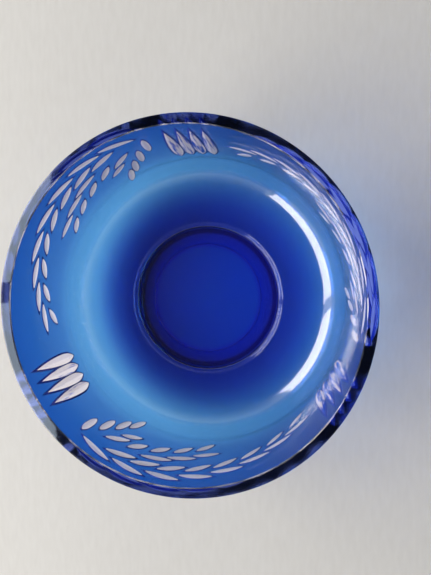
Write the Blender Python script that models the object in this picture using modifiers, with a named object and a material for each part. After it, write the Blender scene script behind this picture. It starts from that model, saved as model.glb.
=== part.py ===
"""A cased glass bowl on a low foot: clear inside, a thin cobalt casing outside, cut through to clear.

Three sprays of wheel-cut leaves run round the wall between three sets of four upright mitre cuts.
Metres, +Z up. The origin is the centre of the ring that the bowl stands on.
"""

import math
from collections import namedtuple

import bmesh
import bpy
from mathutils import Vector

# Driving dimensions, in metres.
RIM_RADIUS = 0.105
HEIGHT = 0.100
RIM_WIDTH = 0.0058  # the flat ground rim, through both layers
DEPTH = 0.0892  # rim down to the inner floor
TAPER_RADIUS = 0.0972  # where the straight inner wall would meet the floor's level
CORNER_BEND = 0.018  # the bend between inner wall and well
WELL_SLOPE = math.radians(4.0)  # the well, between that bend and the step
FLOOR_RADIUS = 0.0546  # the flat floor, which lies a step lower than the well
STEP_HEIGHT = 0.0015
STEP_SLOPE = math.radians(39.0)
STEP_BEND = 0.0033
FOOT_RADIUS = 0.054
FOOT_HEIGHT = 0.0045
FOOT_RING = 0.0118  # width of the ring that the bowl stands on
RECESS = 0.0015  # hollow under the base, inside that ring
CASING = 0.0008  # cobalt layer
GAP = 0.0003  # between two layers of glass
EDGE = 0.0006  # ground bevel of the rim and the foot

# How finely the round shapes are faceted.
TURNS = 72
BEND_STEPS = 6
STEP_STEPS = 2

# The cut decoration.
REPEATS = 3
MITRE_START = math.radians(89.8)  # middle of the first set of mitre cuts
SPRAY_LEADS = (15.2, 20.0, 20.0)  # degrees from the middle of each set to the start of its spray
SPRAY_TOP = 0.0159  # where a spray starts, below the rim
CUT_LIFT = 0.0012  # how far a cutter stands out of the glass

floor_top = HEIGHT - DEPTH
inner_rim = RIM_RADIUS - RIM_WIDTH
wall_slope = math.atan2(inner_rim - TAPER_RADIUS, DEPTH)
wall_normal = Vector((math.cos(wall_slope), -math.sin(wall_slope)))
wall_thickness = RIM_WIDTH * math.cos(wall_slope)
step_top = FLOOR_RADIUS + STEP_HEIGHT / math.tan(STEP_SLOPE)
well_centre = floor_top + STEP_HEIGHT - step_top * math.tan(WELL_SLOPE)  # its cone's height at the axis
well_thickness = well_centre + FOOT_RADIUS * math.tan(WELL_SLOPE) - FOOT_HEIGHT


def clear_scene():
    for obj in list(bpy.data.objects):
        bpy.data.objects.remove(obj, do_unlink=True)


def collection(name):
    made = bpy.data.collections.new(name)
    bpy.context.scene.collection.children.link(made)
    return made


def glass(name, colour, roughness):
    material = bpy.data.materials.new(name)
    material.use_nodes = True
    shader = material.node_tree.nodes["Principled BSDF"]
    shader.inputs["Base Color"].default_value = (*colour, 1.0)
    shader.inputs["Roughness"].default_value = roughness
    shader.inputs["Metallic"].default_value = 0.0
    return material


def bend(before, corner, after, radius, steps=BEND_STEPS):
    """Points of the arc that rounds a corner of an outline."""
    before, corner, after = Vector(before), Vector(corner), Vector(after)
    a = (before - corner).normalized()
    b = (after - corner).normalized()
    half = a.angle(b) / 2
    centre = corner + (a + b).normalized() * radius / math.sin(half)
    first = corner + a * radius / math.tan(half) - centre
    last = corner + b * radius / math.tan(half) - centre
    sweep = math.pi - 2 * half
    points = []
    for step in range(steps + 1):
        angle = sweep * step / steps
        rest = sweep - angle
        points.append(centre + (first * math.sin(rest) + last * math.sin(angle)) / math.sin(sweep))
    return [tuple(point) for point in points]


def wall_outline(outward, downward, end_radius):
    """One face of the glass from the rim down the wall and in along the well to end_radius.

    outward and downward are how far it lies behind the inner face of the wall and of the well.
    """
    lean, rise = math.tan(wall_slope), math.tan(WELL_SLOPE)
    middle = well_centre - downward
    top = (inner_rim + outward / math.cos(wall_slope), HEIGHT)
    radius = (top[0] - (HEIGHT - middle) * lean) / (1 - rise * lean)
    corner = (radius, middle + rise * radius)
    end = (end_radius, middle + rise * end_radius)
    return [top] + bend(top, corner, end, CORNER_BEND + outward) + [end]


def inner_face():
    """The inside of the bowl, from the rim to the middle of its floor."""
    wall = wall_outline(0.0, 0.0, step_top)
    before, edge = wall[-2:]
    foot_of_step = (FLOOR_RADIUS, floor_top)
    middle = (0.0, floor_top)
    upper = bend(before, edge, foot_of_step, STEP_BEND, STEP_STEPS)
    lower = bend(edge, foot_of_step, middle, STEP_BEND, STEP_STEPS)
    return wall[:-1] + upper + lower + [middle]


def turned(name, outline, material, parts, closed=True):
    """A profile at +X, spun round Z by a Screw modifier."""
    mesh = bpy.data.meshes.new(name)
    shape = bmesh.new()
    corners = [shape.verts.new((r, 0.0, z)) for r, z in outline]
    for one, two in zip(corners, corners[1:]):
        shape.edges.new((one, two))
    if closed:
        shape.edges.new((corners[-1], corners[0]))
    shape.to_mesh(mesh)
    shape.free()
    obj = bpy.data.objects.new(name, mesh)
    mesh.materials.append(material)
    parts.objects.link(obj)
    screw = obj.modifiers.new("turn", "SCREW")
    screw.steps = TURNS
    screw.render_steps = TURNS
    screw.use_merge_vertices = True
    screw.merge_threshold = 0.00001
    screw.use_smooth_shade = True
    return obj


def clear_body(parts, material):
    layer = CASING + GAP
    foot = FOOT_RADIUS - layer
    outer = wall_outline(wall_thickness - layer, well_thickness - layer, foot)
    ring_inside = FOOT_RADIUS - FOOT_RING + layer
    underside = [
        (foot, layer + EDGE),
        (foot - EDGE, layer),
        (ring_inside, layer),
        (ring_inside - RECESS, layer + RECESS),
        (0.0, layer + RECESS),
    ]
    outline = inner_face()[::-1] + outer + underside
    return turned("clear_glass_body", outline, material, parts, closed=False)


def wall_casing(parts, material):
    """The cobalt layer round the wall, from the rim to the foot."""
    end = FOOT_RADIUS + GAP
    outside = wall_outline(wall_thickness, well_thickness, end)
    inside = wall_outline(wall_thickness - CASING, well_thickness - CASING, end)
    rim, below = Vector(outside[0]), Vector(outside[1])
    bevel = [
        (rim.x - EDGE / 2, rim.y),
        tuple(rim + (below - rim).normalized() * EDGE / 2),
    ]
    return turned("cobalt_wall_casing", inside[::-1] + bevel + outside[1:], material, parts)


def foot_casing(parts, material):
    """The cobalt layer round and under the foot, whose ground ring the bowl stands on."""
    top = FOOT_HEIGHT + CASING
    ring_inside = FOOT_RADIUS - FOOT_RING
    outline = [
        (0.0, RECESS + CASING),
        (ring_inside - RECESS + CASING / 2, RECESS + CASING),
        (ring_inside + CASING / 2, CASING),
        (FOOT_RADIUS - CASING - EDGE, CASING),
        (FOOT_RADIUS - CASING, CASING + EDGE),
        (FOOT_RADIUS - CASING, top),
        (FOOT_RADIUS, top),
        (FOOT_RADIUS, EDGE),
        (FOOT_RADIUS - EDGE, 0.0),
        (ring_inside, 0.0),
        (ring_inside - RECESS, RECESS),
        (0.0, RECESS),
    ]
    return turned("cobalt_foot_casing", outline, material, parts, closed=False)


# A cut is placed on the wall by how far it is along the rim and below it.
Side = namedtuple("Side", "count first last ease length splay stand_off width shape")
Spray = namedtuple("Spray", "stem above below")
LEAF, OVAL = 2.0, 3.0  # how full the outline is: the power of its curve
SPRAYS = (
    # The long spray: a stem that arches along the rim, eight leaves on each side.
    Spray(
        stem=((0.0, 0.0), (0.0765, -0.0050), (0.156, 0.0320)),
        above=Side(8, 0.00, 0.866, 0.25, (0.0290, 0.0252), (10.2, 16.6), 0.0015, 0.0056, LEAF),
        below=Side(8, 0.106, 0.91, 0.0, (0.0257, 0.0173), (18.1, 13.1), 0.0021, 0.0060, LEAF),
    ),
    # The middle spray, half as long.
    Spray(
        stem=((0.0, 0.0), (0.045, 0.0193), (0.090, 0.0386)),
        above=Side(3, 0.398, 0.764, 0.0, (0.0265, 0.0230), (11.3, 15.2), 0.0024, 0.0056, LEAF),
        below=Side(4, 0.318, 0.808, 0.0, (0.0197, 0.0185), (22.5, 16.1), 0.0028, 0.0062, LEAF),
    ),
    # The short one: two leaves, and four oval berries that hang down.
    Spray(
        stem=((0.0, 0.0), (0.0112, 0.0180), (0.0224, 0.0359)),
        above=Side(2, 0.37, 0.72, 0.0, (0.0233, 0.0196), (20.1, 24.6), 0.0034, 0.0056, LEAF),
        below=Side(4, 0.02, 1.0, 0.1, (0.0227, 0.0226), (28.0, 13.8), 0.0018, 0.0056, OVAL),
    ),
)
LEAF_DEPTH = 0.0022
MITRE_COUNT = 4
MITRE_PITCH = 0.0079
MITRE_TOP = 0.0095
MITRE_LENGTH = 0.0532
MITRE_WIDTH = 0.0074
MITRE_DEPTH = 0.0029
MITRE_FULLEST = 0.68  # where along its length a mitre is widest
LEAF_STATIONS = 4
MITRE_STATIONS = 6


def on_wall(along, down, out):
    """A point of the outer wall, given along the rim, down the wall and out of the glass."""
    height = HEIGHT - down
    radius = RIM_RADIUS - down * math.tan(wall_slope)
    angle = along / (RIM_RADIUS - SPRAY_TOP * math.tan(wall_slope))
    radius += out * wall_normal.x
    height += out * wall_normal.y
    return Vector((radius * math.cos(angle), radius * math.sin(angle), height))


def cutter(name, start, heading, length, width, depth, fullness, stations, cutters, material):
    """The bite of a V-edged wheel: a three-sided loft that follows the wall's curve.

    fullness(t) runs from 0 at one end of the cut through 1 where it is deepest to 0 at the other.
    """
    flank = width / 2 / depth
    forward = Vector((math.cos(heading), math.sin(heading)))
    sideways = Vector((-forward.y, forward.x))
    shape = bmesh.new()
    rings = []
    for station in range(stations + 1):
        t = station / stations
        bite = depth * fullness(t)
        middle = Vector(start) + forward * length * t
        spread = sideways * (bite + CUT_LIFT) * flank
        left, right = middle + spread, middle - spread
        places = ((left, CUT_LIFT), (right, CUT_LIFT), (middle, -bite))
        rings.append([shape.verts.new(on_wall(at.x, at.y, out)) for at, out in places])
    for one, two in zip(rings, rings[1:]):
        for i in range(3):
            shape.faces.new((one[i], one[i - 1], two[i - 1], two[i]))
    shape.faces.new(rings[0])
    shape.faces.new(rings[-1][::-1])
    bmesh.ops.recalc_face_normals(shape, faces=shape.faces)
    mesh = bpy.data.meshes.new(name)
    shape.to_mesh(mesh)
    shape.free()
    mesh.materials.append(material)
    obj = bpy.data.objects.new(name, mesh)
    cutters.objects.link(obj)
    obj.hide_render = True
    obj.display_type = "WIRE"
    return obj


def stem_point(stem, t):
    """Place and heading on a stem, a curve through its start and end that leans to its middle point."""
    start, middle, end = (Vector(point) for point in stem)
    place = start * (1 - t) ** 2 + middle * 2 * t * (1 - t) + end * t**2
    along = (middle - start) * (1 - t) + (end - middle) * t
    return place, math.atan2(along.y, along.x)


def leaf_side(name, spray, side, sign, origin, cutters, material):
    """The leaves on one side of a stem. sign is -1 for the side nearer the rim."""
    for index in range(side.count):
        u = index / (side.count - 1)
        t = side.first + (side.last - side.first) * (u * (1 + side.ease) - side.ease * u * u)
        place, stem_heading = stem_point(spray.stem, t)
        across = Vector((-math.sin(stem_heading), math.cos(stem_heading))) * sign
        splay = side.splay[0] + (side.splay[1] - side.splay[0]) * u
        length = side.length[0] + (side.length[1] - side.length[0]) * u
        cutter(
            f"{name}_{index}",
            Vector(origin) + place + across * side.stand_off * (t > 0),
            stem_heading + sign * math.radians(splay),
            length,
            side.width,
            LEAF_DEPTH,
            lambda t: 1 - abs(2 * t - 1) ** side.shape,
            LEAF_STATIONS,
            cutters,
            material,
        )


def mitre_fullness(t):
    """A long taper down from the rim, then a short blunt one."""
    if t < MITRE_FULLEST:
        return 1 - (1 - t / MITRE_FULLEST) ** 1.7
    return 1 - ((t - MITRE_FULLEST) / (1 - MITRE_FULLEST)) ** 3


def cut_decoration(cutters, material):
    arc = RIM_RADIUS - SPRAY_TOP * math.tan(wall_slope)
    for repeat in range(REPEATS):
        centre = (MITRE_START + repeat * math.tau / REPEATS) * arc
        for index in range(MITRE_COUNT):
            along = centre + (index - (MITRE_COUNT - 1) / 2) * MITRE_PITCH
            cutter(
                f"mitre_{repeat}_{index}",
                (along, MITRE_TOP),
                math.pi / 2,
                MITRE_LENGTH,
                MITRE_WIDTH,
                MITRE_DEPTH,
                mitre_fullness,
                MITRE_STATIONS,
                cutters,
                material,
            )
        origin = (centre + math.radians(SPRAY_LEADS[repeat]) * arc, SPRAY_TOP)
        for index, spray in enumerate(SPRAYS):
            name = f"leaf_{repeat}_{index}"
            leaf_side(f"{name}_above", spray, spray.above, -1, origin, cutters, material)
            leaf_side(f"{name}_below", spray, spray.below, 1, origin, cutters, material)


def cut(obj, cutters):
    boolean = obj.modifiers.new("wheel cuts", "BOOLEAN")
    boolean.operation = "DIFFERENCE"
    boolean.solver = "EXACT"
    boolean.operand_type = "COLLECTION"
    boolean.collection = cutters


def main():
    clear_scene()
    parts = collection("cased_glass_bowl")
    cutters = collection("wheel_cutters")
    cutters.hide_render = True
    crystal = glass("clear crystal", (0.86, 0.90, 0.92), 0.03)
    cobalt = glass("cobalt glass", (0.03, 0.16, 0.62), 0.04)
    foot_cobalt = glass("cobalt foot glass", (0.02, 0.09, 0.46), 0.04)
    frosted = glass("wheel-cut frost", (0.80, 0.78, 0.80), 0.55)
    cut_decoration(cutters, frosted)
    body = clear_body(parts, crystal)
    casing = wall_casing(parts, cobalt)
    foot_casing(parts, foot_cobalt)
    for obj in (body, casing):
        cut(obj, cutters)


main()
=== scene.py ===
import math

import bmesh
import bpy
from mathutils import Euler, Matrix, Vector


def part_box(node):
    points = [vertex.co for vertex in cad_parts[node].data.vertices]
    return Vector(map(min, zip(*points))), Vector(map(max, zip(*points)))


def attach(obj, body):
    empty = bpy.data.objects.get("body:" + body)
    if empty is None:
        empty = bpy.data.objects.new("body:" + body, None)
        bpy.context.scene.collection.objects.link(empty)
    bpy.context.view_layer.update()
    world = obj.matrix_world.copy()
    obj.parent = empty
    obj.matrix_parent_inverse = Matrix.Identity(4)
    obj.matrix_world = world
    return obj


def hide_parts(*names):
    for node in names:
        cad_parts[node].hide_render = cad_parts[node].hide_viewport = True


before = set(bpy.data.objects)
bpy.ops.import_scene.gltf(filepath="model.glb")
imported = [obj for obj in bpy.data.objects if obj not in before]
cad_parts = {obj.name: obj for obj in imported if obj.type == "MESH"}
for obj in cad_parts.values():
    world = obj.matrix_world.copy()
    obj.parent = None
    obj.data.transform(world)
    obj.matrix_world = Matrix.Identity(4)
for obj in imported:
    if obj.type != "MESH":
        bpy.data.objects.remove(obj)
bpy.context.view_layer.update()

# The clear body: the thick inner layer of the blank, blown and turned about one axis. Straight wall,
# rounded corner, shallow well and a flat floor one small step lower. Its rim is ground flat.
wall_low, wall_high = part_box("cobalt_wall_casing")
foot_low, foot_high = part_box("cobalt_foot_casing")
rim_radius = wall_high.x
height = wall_high.z
foot_radius = foot_high.x
foot_height = 0.0045
casing = foot_high.z - foot_height
seam = 0.00002  # the hair's breadth that keeps two fused faces apart
inner_rim = rim_radius - 0.0058
floor_top = height - 0.0892
taper_radius = 0.0972
corner_bend = 0.018
well_slope = math.radians(4.0)
floor_radius = 0.0546
step_height = 0.0015
step_top = floor_radius + step_height / math.tan(math.radians(39.0))
step_bend = 0.0033
ring_inside = foot_radius - 0.0118
recess = 0.0015
ground_edge = 0.0006
arris_width = 0.0005  # the small flat ground on the rim's inner edge
hair = 0.00001
turns = 192
wall_slope = math.atan2(inner_rim - taper_radius, height - floor_top)
wall_thickness = (rim_radius - inner_rim) * math.cos(wall_slope)
well_centre = floor_top + step_height - step_top * math.tan(well_slope)
well_thickness = well_centre + foot_radius * math.tan(well_slope) - foot_height


def bend(before, corner, after, radius, steps):
    """Points of the arc that rounds a corner of an outline."""
    before, corner, after = Vector(before), Vector(corner), Vector(after)
    a = (before - corner).normalized()
    b = (after - corner).normalized()
    half = a.angle(b) / 2
    centre = corner + (a + b).normalized() * radius / math.sin(half)
    first = corner + a * radius / math.tan(half) - centre
    last = corner + b * radius / math.tan(half) - centre
    sweep = math.pi - 2 * half
    points = []
    for step in range(steps + 1):
        angle = sweep * step / steps
        point = first * math.sin(sweep - angle) + last * math.sin(angle)
        points.append(tuple(centre + point / math.sin(sweep)))
    return points


def wall_outline(outward, downward, end_radius):
    """One face of the glass, from the rim down the wall and in along the well to end_radius."""
    lean, rise = math.tan(wall_slope), math.tan(well_slope)
    middle = well_centre - downward
    top = (inner_rim + outward / math.cos(wall_slope), height)
    radius = (top[0] - (height - middle) * lean) / (1 - rise * lean)
    corner = (radius, middle + rise * radius)
    end = (end_radius, middle + rise * end_radius)
    return [top] + bend(top, corner, end, corner_bend + outward, 16) + [end]


def turned(name, outline, closed):
    """A piece of glass turned about Z from its outline at +X, which runs down the outer side."""
    mesh = bpy.data.meshes.new(name)
    shape = bmesh.new()
    corners = [shape.verts.new((r, 0.0, z)) for r, z in outline]
    for one, two in zip(corners, corners[1:]):
        shape.edges.new((one, two))
    if closed:
        shape.edges.new((corners[-1], corners[0]))
    shape.to_mesh(mesh)
    shape.free()
    obj = bpy.data.objects.new(name, mesh)
    bpy.context.scene.collection.objects.link(obj)
    screw = obj.modifiers.new("turn", "SCREW")
    screw.steps = screw.render_steps = turns
    screw.use_merge_vertices = True
    screw.merge_threshold = hair
    return obj


class Value:
    """A shader socket that adds Math nodes when it is used in an expression."""

    def __init__(self, tree, socket):
        self.tree, self.socket = tree, socket

    def maths(self, operation, one, two):
        return self.tree.node("ShaderNodeMath", {"operation": operation}, {0: one, 1: two})

    def __add__(self, other):
        return self.maths("ADD", self, other)

    __radd__ = __add__

    def __sub__(self, other):
        return self.maths("SUBTRACT", self, other)

    def __rsub__(self, other):
        return self.maths("SUBTRACT", other, self)

    def __mul__(self, other):
        return self.maths("MULTIPLY", self, other)

    __rmul__ = __mul__


class Finish:
    """A material, built node by node."""

    def __init__(self, name):
        self.material = bpy.data.materials.new(name)
        self.material.use_nodes = True
        self.nodes = self.material.node_tree.nodes
        self.nodes.clear()

    def node(self, kind, settings=None, inputs=None, output=0):
        made = self.nodes.new(kind)
        for name, value in (settings or {}).items():
            if name == "stops":
                ramp = made.color_ramp
                while len(ramp.elements) < len(value):
                    ramp.elements.new(0.5)
                for element, (position, colour) in zip(ramp.elements, value):
                    element.position = position
                    element.color = (*colour, 1.0)
            else:
                setattr(made, name, value)
        for name, value in (inputs or {}).items():
            socket = made.inputs[name]
            if isinstance(value, Value):
                self.material.node_tree.links.new(value.socket, socket)
            elif socket.type == "RGBA" and len(value) == 3:
                socket.default_value = (*value, 1.0)
            else:
                socket.default_value = value
        return Value(self, made.outputs[output]) if made.outputs else None

    def surface(self, shader):
        self.node("ShaderNodeOutputMaterial", {}, {"Surface": shader})
        return self.material


def lit_through(finish, glass, colour):
    """Lamps reach what is behind the glass, tinted by it."""
    lamp_ray = finish.node("ShaderNodeLightPath", output="Is Shadow Ray")
    clear = finish.node("ShaderNodeBsdfTransparent", {}, {"Color": colour})
    return finish.node("ShaderNodeMixShader", {}, {0: lamp_ray, 1: glass, 2: clear})


def scratched(finish, least, most):
    """A roughness that fine scratches from years of use raise in patches."""
    place = finish.node("ShaderNodeTexCoord", output="Object")
    wear = finish.node("ShaderNodeTexNoise", {}, {"Vector": place, "Scale": 90.0, "Detail": 6.0})
    return least + wear * (most - least)


def clear_finish():
    """Polished lead crystal, with the fine scratches that use leaves on it."""
    finish = Finish("clear_glass")
    glass = finish.node(
        "ShaderNodeBsdfPrincipled",
        {},
        {
            "Base Color": (0.99, 0.995, 1.0),
            "Roughness": scratched(finish, 0.0, 0.09),
            "IOR": 1.5,
            "Transmission Weight": 1.0,
            "Specular IOR Level": 0.6,
            "Coat Weight": 0.1,
            "Coat Roughness": 0.14,
        },
    )
    return finish.surface(lit_through(finish, glass, (0.95, 0.96, 0.97)))


def rim_finish():
    """The ground and polished rim: its dark blue is painted, standing in for what shows in it, which
    has passed down the cobalt wall and back; its reflections get a painted blue tint.
    """
    finish = Finish("ground_rim")
    glass = finish.node(
        "ShaderNodeBsdfPrincipled",
        {},
        {
            "Base Color": (0.02, 0.045, 0.42),
            "Roughness": scratched(finish, 0.02, 0.06),
            "IOR": 1.5,
            # Painted reflection: a blue tint on the rim's reflections, for a bluish sky.
            "Specular Tint": (0.62, 0.78, 1.0),
            "Transmission Weight": 1.0,
        },
    )
    return finish.surface(lit_through(finish, glass, (0.3, 0.4, 0.8)))


def fused_finish():
    """Where two layers are fused there is no surface to see."""
    finish = Finish("fused_face")
    return finish.surface(finish.node("ShaderNodeBsdfTransparent", {}, {"Color": (1, 1, 1)}))


def faces_outward(face):
    """Whether a face lies on the outer side of the bowl."""
    radius = math.hypot(face.center.x, face.center.y)
    outward = (face.center.x * face.normal.x + face.center.y * face.normal.y) / radius
    return outward > 0.05 or face.normal.z < -0.05


wall = wall_outline(0.0, 0.0, step_top)
floor_edge, centre = (floor_radius, floor_top), (0.0, floor_top)
arris = [(inner_rim + arris_width, height), (inner_rim - hair, height - ground_edge)]
inner = arris + wall[1:-1] + bend(wall[-2], wall[-1], floor_edge, step_bend, 6)
inner += bend(wall[-1], floor_edge, centre, step_bend, 6) + [centre]
layer = casing + seam
outer = wall_outline(wall_thickness - layer, well_thickness - layer, foot_radius - layer)
underside = [
    (foot_radius - layer, layer + ground_edge),
    (foot_radius - layer - ground_edge, layer),
    (ring_inside + layer, layer),
    (ring_inside + layer - recess, layer + recess),
    (0.0, layer + recess),
]
body = turned("clear_glass", inner[::-1] + outer + underside, False)
body.data.materials.append(clear_finish())
body.data.materials.append(fused_finish())
body.data.materials.append(rim_finish())
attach(body, "root")
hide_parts("clear_glass_body")

# The wall's casing: a thin layer of cobalt glass fused over the clear one, fire-polished outside.
# Its tint is painted with shade: darkest at the foot and over the well, where the board beneath lies
# in the bowl's shade, palest over the corner between wall and well, where the lit board shows through,
# and darker again up towards the rim.


def cobalt_finish(name, stops, lamp_colour):
    """Cobalt glass whose tint, with the shade painted into it, runs through the stops from the floor's
    centre out and up to the rim.
    """
    finish = Finish(name)
    place = finish.node("ShaderNodeTexCoord", output="Object")
    up = finish.node("ShaderNodeSeparateXYZ", {}, {0: place}, output="Z")
    level = finish.node("ShaderNodeVectorMath", {"operation": "MULTIPLY"}, {0: place, 1: (1, 1, 0)})
    out = finish.node("ShaderNodeVectorMath", {"operation": "LENGTH"}, {0: level}, output="Value")
    share = (up + out) * (1 / (rim_radius + height))
    tint = finish.node("ShaderNodeValToRGB", {"stops": stops}, {"Fac": share})
    glass = finish.node(
        "ShaderNodeBsdfPrincipled",
        {},
        {
            "Base Color": tint,
            "Roughness": 0.16,
            "IOR": 1.5,
            "Transmission Weight": 1.0,
            "Coat Weight": 1.0,
            "Coat Roughness": 0.03,
        },
    )
    return finish.surface(lit_through(finish, glass, lamp_colour))


def edge_finish():
    """The cut through the cobalt, seen as a thin dark line."""
    finish = Finish("cobalt_edge")
    return finish.surface(
        finish.node(
            "ShaderNodeBsdfPrincipled",
            {},
            {"Base Color": (0.012, 0.035, 0.25), "Roughness": 0.2, "Coat Weight": 0.5},
        )
    )


wall_end = foot_radius + 0.0003  # clear of the foot's casing
outside = wall_outline(wall_thickness, well_thickness, wall_end)
inside = wall_outline(wall_thickness - casing, well_thickness - casing, wall_end)
wall = turned("cobalt_wall", inside[::-1] + outside, True)
# Painted shade: the tint darkens towards the foot and the well, where the bowl shades the board
# beneath, and is palest over the corner, where the lit board shows through.
wall_tint_and_shade_stops = [
    (0.28, (0.0003, 0.014, 0.72)),
    (0.33, (0.0006, 0.022, 0.74)),
    (0.37, (0.0016, 0.042, 0.82)),
    (0.41, (0.0050, 0.100, 0.94)),
    (0.45, (0.012, 0.19, 1.0)),
    (0.52, (0.020, 0.26, 1.0)),
    (0.60, (0.016, 0.22, 1.0)),
    (0.72, (0.0046, 0.087, 0.76)),
    (0.88, (0.0006, 0.035, 0.60)),
    (1.0, (0.0002, 0.017, 0.46)),
]
wall.data.materials.append(cobalt_finish("cobalt_glass", wall_tint_and_shade_stops, (0.46, 0.45, 0.58)))
wall.data.materials.append(bpy.data.materials["fused_face"])
wall.data.materials.append(edge_finish())
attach(wall, "root")
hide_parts("cobalt_wall_casing")

# The foot's casing: the same cobalt glass round and under the low foot, with painted shade: a
# near-black ring at the foot's outer edge, where no light reaches under the ring.
# The bowl stands on its ring, which is ground flat round a shallow hollow.
foot_outline = [
    (0.0, recess + casing),
    (ring_inside - recess + casing / 2, recess + casing),
    (ring_inside + casing / 2, casing),
    (foot_radius - casing - ground_edge, casing),
    (foot_radius - casing, casing + ground_edge),
    (foot_radius - casing, foot_high.z),
    (foot_radius, foot_high.z),
    (foot_radius, ground_edge),
    (foot_radius - ground_edge, 0.0),
    (ring_inside, 0.0),
    (ring_inside - recess, recess),
    (0.0, recess),
]
foot = turned("cobalt_foot", foot_outline, False)
# Painted shade and light: a near-black ring at the outer edge, where the ring stands in shade, and a
# paler floor inside, painted lighter against the shade beneath it.
foot_tint_and_shade_stops = [
    (0.0, (0.0003, 0.13, 0.86)),
    (0.195, (0.0003, 0.11, 0.82)),
    (0.205, (0.0002, 0.045, 0.78)),
    (0.238, (0.0001, 0.035, 0.70)),
    (0.246, (0.00001, 0.0015, 0.33)),
]
foot.data.materials.append(cobalt_finish("cobalt_foot_glass", foot_tint_and_shade_stops, (0.75, 0.88, 1.0)))
foot.data.materials.append(bpy.data.materials["fused_face"])
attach(foot, "root")
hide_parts("cobalt_foot_casing")

# The wheel cuts: 29 leaves and berries in each of three sprays, and four upright mitre cuts between
# one spray and the next. A wheel grinds each through the cobalt layer into the clear glass.
mitre_start = math.radians(89.8)
spray_leads = (15.2, 20.0, 20.0)  # degrees from each set's middle to the start of its spray
spray_top = 0.0159
cut_lift = 0.0012
cut_flare = 0.35  # how much wider a wheel's bite is above the glass
wall_arc = rim_radius - spray_top * math.tan(wall_slope)
leaf_depth = 0.0021
mitre_pitch = 0.0079
mitre_top = 0.0095
mitre_length = 0.0532
mitre_width = 0.0096
mitre_depth = 0.0030
mitre_fullest = 0.70


def on_wall(along, down, out):
    """A point of the outer wall, given along the rim, down the wall and out of the glass."""
    radius = rim_radius - down * math.tan(wall_slope) + out * math.cos(wall_slope)
    angle = along / wall_arc
    up = height - down - out * math.sin(wall_slope)
    return Vector((radius * math.cos(angle), radius * math.sin(angle), up))


def bite_of_wheel(name, start, heading, length, width, deep, fullness, section, stations):
    """What one pass of a wheel takes out. section lists the wheel's edge, across and down."""
    forward = Vector((math.cos(heading), math.sin(heading)))
    sideways = Vector((-forward.y, forward.x))
    shape = bmesh.new()
    rings = []
    for station in range(stations + 1):
        t = station / stations
        full = fullness(t)
        middle = Vector(start) + forward * length * t
        ring = []
        for across, down in section:
            at = middle + sideways * across * width / 2 * (full if down >= 0 else full + cut_flare)
            out = cut_lift if down < 0 else -deep * full * down
            ring.append(shape.verts.new(on_wall(at.x, at.y, out)))
        rings.append(ring)
    sides = len(section)
    for one, two in zip(rings, rings[1:]):
        for i in range(sides):
            shape.faces.new((one[i], one[i - 1], two[i - 1], two[i]))
    shape.faces.new(rings[0])
    shape.faces.new(rings[-1][::-1])
    bmesh.ops.remove_doubles(shape, verts=shape.verts, dist=0.000002)
    bmesh.ops.recalc_face_normals(shape, faces=shape.faces)
    mesh = bpy.data.meshes.new(name)
    shape.to_mesh(mesh)
    shape.free()
    return bpy.data.objects.new(name, mesh)


round_edge = [(-1, -1), (-1, 0), (-0.8, 0.42), (-0.45, 0.83), (0, 1)]
round_edge += [(-a, d) for a, d in reversed(round_edge[:-1])]
v_edge = [(-1, -1), (-1, 0), (0, 1), (1, 0), (1, -1)]


def leaf_fullness(power):
    """How deep a leaf is along its length: the greater the power, the blunter its ends."""
    return lambda t: max(1 - abs(2 * t - 1) ** power, 0.0)


def mitre_fullness(t):
    """A long taper down from the rim, then a short blunt one."""
    if t < mitre_fullest:
        return 1 - (1 - t / mitre_fullest) ** 1.7
    return max(1 - ((t - mitre_fullest) / (1 - mitre_fullest)) ** 3, 0.0)


# Each spray's stem leans from its start to its end by way of a middle point. The sides list count,
# first and last place on the stem, ease, lengths, splays in degrees, stand-off, width, fullness.
sprays = (
    (
        ((0.0, 0.0), (0.0765, -0.0050), (0.156, 0.0320)),
        (8, 0.00, 0.866, 0.25, (0.0290, 0.0252), (10.2, 16.6), 0.0015, 0.0056, 2.0),
        (8, 0.106, 0.91, 0.0, (0.0257, 0.0173), (18.1, 13.1), 0.0021, 0.0060, 2.0),
    ),
    (
        ((0.0, 0.0), (0.045, 0.0193), (0.090, 0.0386)),
        (3, 0.398, 0.764, 0.0, (0.0265, 0.0230), (11.3, 15.2), 0.0024, 0.0056, 2.0),
        (4, 0.318, 0.808, 0.0, (0.0197, 0.0185), (22.5, 16.1), 0.0028, 0.0062, 2.0),
    ),
    (
        ((0.0, 0.0), (0.0112, 0.0180), (0.0224, 0.0359)),
        (2, 0.37, 0.72, 0.0, (0.0233, 0.0196), (20.1, 24.6), 0.0034, 0.0056, 2.0),
        (4, 0.02, 1.0, 0.1, (0.0227, 0.0226), (28.0, 13.8), 0.0018, 0.0056, 3.0),
    ),
)


def spray_cuts(repeat, origin):
    """The leaves and berries on both sides of a spray's three stems."""
    cuts = []
    for number, (stem, above, below) in enumerate(sprays):
        start, middle, end = (Vector(point) for point in stem)
        for side, sign in ((above, -1), (below, 1)):
            count, first, last, ease, lengths, splays, stand_off, width, power = side
            for index in range(count):
                u = index / (count - 1)
                t = first + (last - first) * (u * (1 + ease) - ease * u * u)
                place = start * (1 - t) ** 2 + middle * 2 * t * (1 - t) + end * t**2
                along = (middle - start) * (1 - t) + (end - middle) * t
                stem_heading = math.atan2(along.y, along.x)
                across = Vector((-math.sin(stem_heading), math.cos(stem_heading))) * sign
                splay = splays[0] + (splays[1] - splays[0]) * u
                length = lengths[0] + (lengths[1] - lengths[0]) * u
                cuts.append(
                    bite_of_wheel(
                        f"leaf_{repeat}_{number}_{sign}_{index}",
                        origin + place + across * stand_off * (t > 0),
                        stem_heading + sign * math.radians(splay),
                        length,
                        width,
                        leaf_depth,
                        leaf_fullness(power),
                        round_edge,
                        12,
                    )
                )
    return cuts


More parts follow.
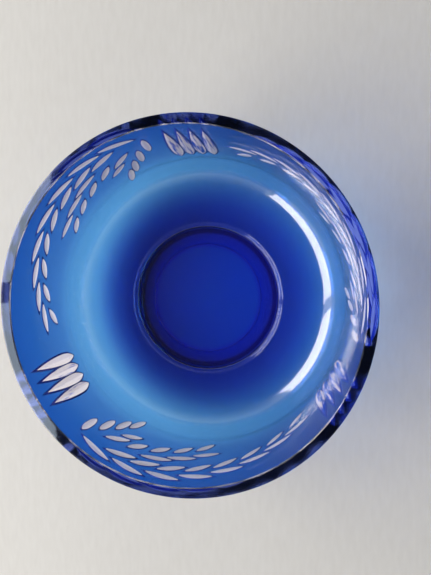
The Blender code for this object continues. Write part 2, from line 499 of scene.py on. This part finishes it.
def mitre_cuts(repeat, centre):
    """One set of four upright mitre cuts."""
    cuts = []
    for index in range(4):
        cuts.append(
            bite_of_wheel(
                f"mitre_{repeat}_{index}",
                (centre + (index - 1.5) * mitre_pitch, mitre_top),
                math.pi / 2,
                mitre_length,
                mitre_width,
                mitre_depth,
                mitre_fullness,
                v_edge,
                16,
            )
        )
    return cuts


wheels = bpy.data.collections.new("wheels")
bpy.context.scene.collection.children.link(wheels)
leaf_cuts, mitres = [], []
for repeat in range(3):
    centre = (mitre_start + repeat * math.tau / 3) * wall_arc
    start = centre + math.radians(spray_leads[repeat]) * wall_arc
    leaf_cuts += spray_cuts(repeat, Vector((start, spray_top)))
    mitres += mitre_cuts(repeat, centre)
for wheel in leaf_cuts + mitres:
    wheels.objects.link(wheel)
    wheel.hide_render = True


def cut_through(obj):
    """Takes the wheel cuts out of a layer, and keeps each cut's own finish on its faces."""
    boolean = obj.modifiers.new("wheel cuts", "BOOLEAN")
    boolean.operation = "DIFFERENCE"
    boolean.solver = "EXACT"
    boolean.operand_type = "COLLECTION"
    boolean.collection = wheels
    boolean.material_mode = "TRANSFER"


def finished(obj):
    """Applies the modifiers, so that the mesh is the piece's own."""
    bpy.context.view_layer.update()
    graph = bpy.context.evaluated_depsgraph_get()
    mesh = bpy.data.meshes.new_from_object(obj.evaluated_get(graph))
    obj.modifiers.clear()
    obj.data = mesh
    obj.data.name = obj.name
    mesh.shade_smooth()
    mesh.set_sharp_from_angle(angle=math.radians(30))


upright, straight_from = 0.04, 0.034  # most slope of a wall face's normal, and the corner's top


def turned_normals(obj):
    """Gives the straight wall the normals of the turning, where the cuts have split its faces."""
    mesh = obj.data
    normals = [Vector(corner.vector) for corner in mesh.corner_normals]
    for face in mesh.polygons:
        if face.material_index > 1 or abs(face.normal.z) > upright or face.center.z < straight_from:
            continue
        for corner in face.loop_indices:
            at = mesh.vertices[mesh.loops[corner].vertex_index].co
            outward = Vector((at.x, at.y, 0.0)).normalized()
            side = 1 if face.normal.dot(outward) > 0 else -1
            outward *= math.cos(wall_slope)
            outward.z = -math.sin(wall_slope)
            normals[corner] = outward * side
    mesh.normals_split_custom_set(normals)


def ground_surface(finish, inputs):
    """Ground glass shows as much light from behind as from in front."""
    front = finish.node("ShaderNodeBsdfDiffuse", {}, inputs)
    behind = finish.node("ShaderNodeBsdfTranslucent", {}, inputs)
    return finish.surface(finish.node("ShaderNodeMixShader", {}, {0: 0.5, 1: front, 2: behind}))


def frost_finish():
    """The leaves are left as the wheel ground them."""
    return ground_surface(Finish("wheel_frost"), {"Color": (0.58, 0.56, 0.61)})


def facet_finish():
    """The mitres' facets: a painted sheen, silvery along the wheel's streaks and blue between them,
    and painted side light, silvery on the left, towards the window, and blue on the right.
    """
    finish = Finish("wheel_facets")
    place = finish.node("ShaderNodeTexCoord", output="Object")
    along = finish.node(
        "ShaderNodeVectorMath", {"operation": "MULTIPLY"}, {0: place, 1: (1.0, 1.0, 0.10)}
    )
    streaks = finish.node(
        "ShaderNodeTexNoise", {}, {"Vector": along, "Scale": 420.0, "Detail": 5.0, "Roughness": 0.6}
    )
    # Painted light: the term in X gives more sheen to the left, towards the window, and more blue to
    # the right.
    apart = finish.node("ShaderNodeSeparateXYZ", {}, {0: place}, output="X")
    painted_sheen = (0.55 - streaks) * 10.0 - apart * 9.0 + 0.5
    painted_sheen = finish.node("ShaderNodeClamp", {}, {"Value": painted_sheen})
    colour = finish.node(
        "ShaderNodeMix",
        {"data_type": "RGBA"},
        {0: painted_sheen, 6: (0.012, 0.06, 0.42, 1.0), 7: (0.66, 0.62, 0.64, 1.0)},
        output=2,
    )
    bump = finish.node("ShaderNodeBump", {}, {"Strength": 0.25, "Distance": 0.0003, "Height": streaks})
    return ground_surface(finish, {"Color": colour, "Normal": bump})


frost = frost_finish()
facets = facet_finish()
for wheel in leaf_cuts:
    wheel.data.materials.append(frost)
for wheel in mitres:
    wheel.data.materials.append(facets)
for obj in (body, wall):
    cut_through(obj)
for obj in (body, wall, foot):
    finished(obj)
for name in ("wheel_frost", "wheel_facets"):
    wall.data.materials[wall.data.materials.find(name)] = wall.data.materials["cobalt_edge"]
for obj in (body, wall, foot):
    bonded = obj.data.materials.find("fused_face")
    for face in obj.data.polygons:
        inside_seam = (obj == body) == faces_outward(face) and face.normal.z < 0.9999
        if face.material_index == 0 and inside_seam:
            face.material_index = bonded
for face in body.data.polygons:
    if face.center.z > height - hair:
        face.material_index = body.data.materials.find("ground_rim")
for obj in (body, wall):
    turned_normals(obj)
bpy.data.collections.remove(wheels)
for wheel in leaf_cuts + mitres:
    bpy.data.objects.remove(wheel)

# The board that the bowl stands on: pale painted wood, matt and plain, with a faint grain.
# It lies a little below the foot, so that the two don't share a plane.
board_half = 3.0
mesh = bpy.data.meshes.new("board")
shape = bmesh.new()
bmesh.ops.create_grid(shape, x_segments=1, y_segments=1, size=board_half)
shape.to_mesh(mesh)
shape.free()
board = bpy.data.objects.new("board", mesh)
board.location.z = -0.0004
bpy.context.scene.collection.objects.link(board)
paint = Finish("board_paint")
place = paint.node("ShaderNodeTexCoord", output="Object")
grain = paint.node("ShaderNodeVectorMath", {"operation": "MULTIPLY"}, {0: place, 1: (1.0, 0.25, 1.0)})
flecks = paint.node("ShaderNodeTexNoise", {}, {"Vector": grain, "Scale": 260.0, "Detail": 4.0})
mottle = paint.node("ShaderNodeTexNoise", {}, {"Vector": place, "Scale": 9.0, "Detail": 2.0})
cream = paint.node(
    "ShaderNodeMix",
    {"data_type": "RGBA"},
    {0: flecks * 0.7 + mottle * 0.3, 6: (0.46, 0.445, 0.42, 1.0), 7: (0.55, 0.54, 0.515, 1.0)},
    output=2,
)
mesh.materials.append(paint.surface(paint.node("ShaderNodeBsdfDiffuse", {}, {"Color": cream})))

# The light: a tall window of two panes to the left, with a bar between them, and the room's own
# soft light, which is bright low down and dark overhead.
world = bpy.data.worlds.new("room")
bpy.context.scene.world = world
world.use_nodes = True
sky = world.node_tree
way = sky.nodes.new("ShaderNodeTexCoord")
apart = sky.nodes.new("ShaderNodeSeparateXYZ")
ramp = sky.nodes.new("ShaderNodeValToRGB")
sky.links.new(way.outputs["Generated"], apart.inputs[0])
sky.links.new(apart.outputs["Z"], ramp.inputs["Fac"])
ramp.color_ramp.elements[0].position = 0.35
ramp.color_ramp.elements[0].color = (0.92, 0.95, 1.0, 1.0)
ramp.color_ramp.elements[1].position = 0.9
ramp.color_ramp.elements[1].color = (0.05, 0.055, 0.07, 1.0)
sky.links.new(ramp.outputs["Color"], sky.nodes["Background"].inputs["Color"])
sky.nodes["Background"].inputs["Strength"].default_value = 0.8


def window(name, place, target, wide, high, power, colour):
    """A lamp the size of a window pane."""
    lamp = bpy.data.lights.new(name, "AREA")
    lamp.shape = "RECTANGLE"
    lamp.size, lamp.size_y = wide, high
    lamp.energy = power
    lamp.color = colour
    obj = bpy.data.objects.new(name, lamp)
    obj.location = place
    obj.rotation_euler = (Vector(target) - Vector(place)).to_track_quat("-Z", "Y").to_euler()
    bpy.context.scene.collection.objects.link(obj)


window("pane_near", (-1.0, -0.60, 0.98), (0, -0.60, 0.98), 1.0, 1.55, 32.0, (1.0, 0.98, 0.95))
window("pane_far", (-1.0, 0.34, 0.98), (0, 0.34, 0.98), 0.72, 1.55, 23.0, (1.0, 0.98, 0.95))

# The camera, held above the bowl and a little to the right, and tipped slightly.
# Colours go out as they are, with no film curve, so that the cobalt stays deep.
camera_data = bpy.data.cameras.new("camera")
camera_data.sensor_width = 36.0
camera_data.lens = 27.05
camera = bpy.data.objects.new("camera", camera_data)
camera.location = (0.531 * rim_radius, 0.196 * rim_radius, height + 2.174 * rim_radius)
camera.rotation_euler = Euler((math.radians(-2.3), math.radians(8.65), math.radians(-0.35)))
bpy.context.scene.collection.objects.link(camera)
bpy.context.scene.camera = camera
bpy.context.scene.view_settings.view_transform = "Standard"
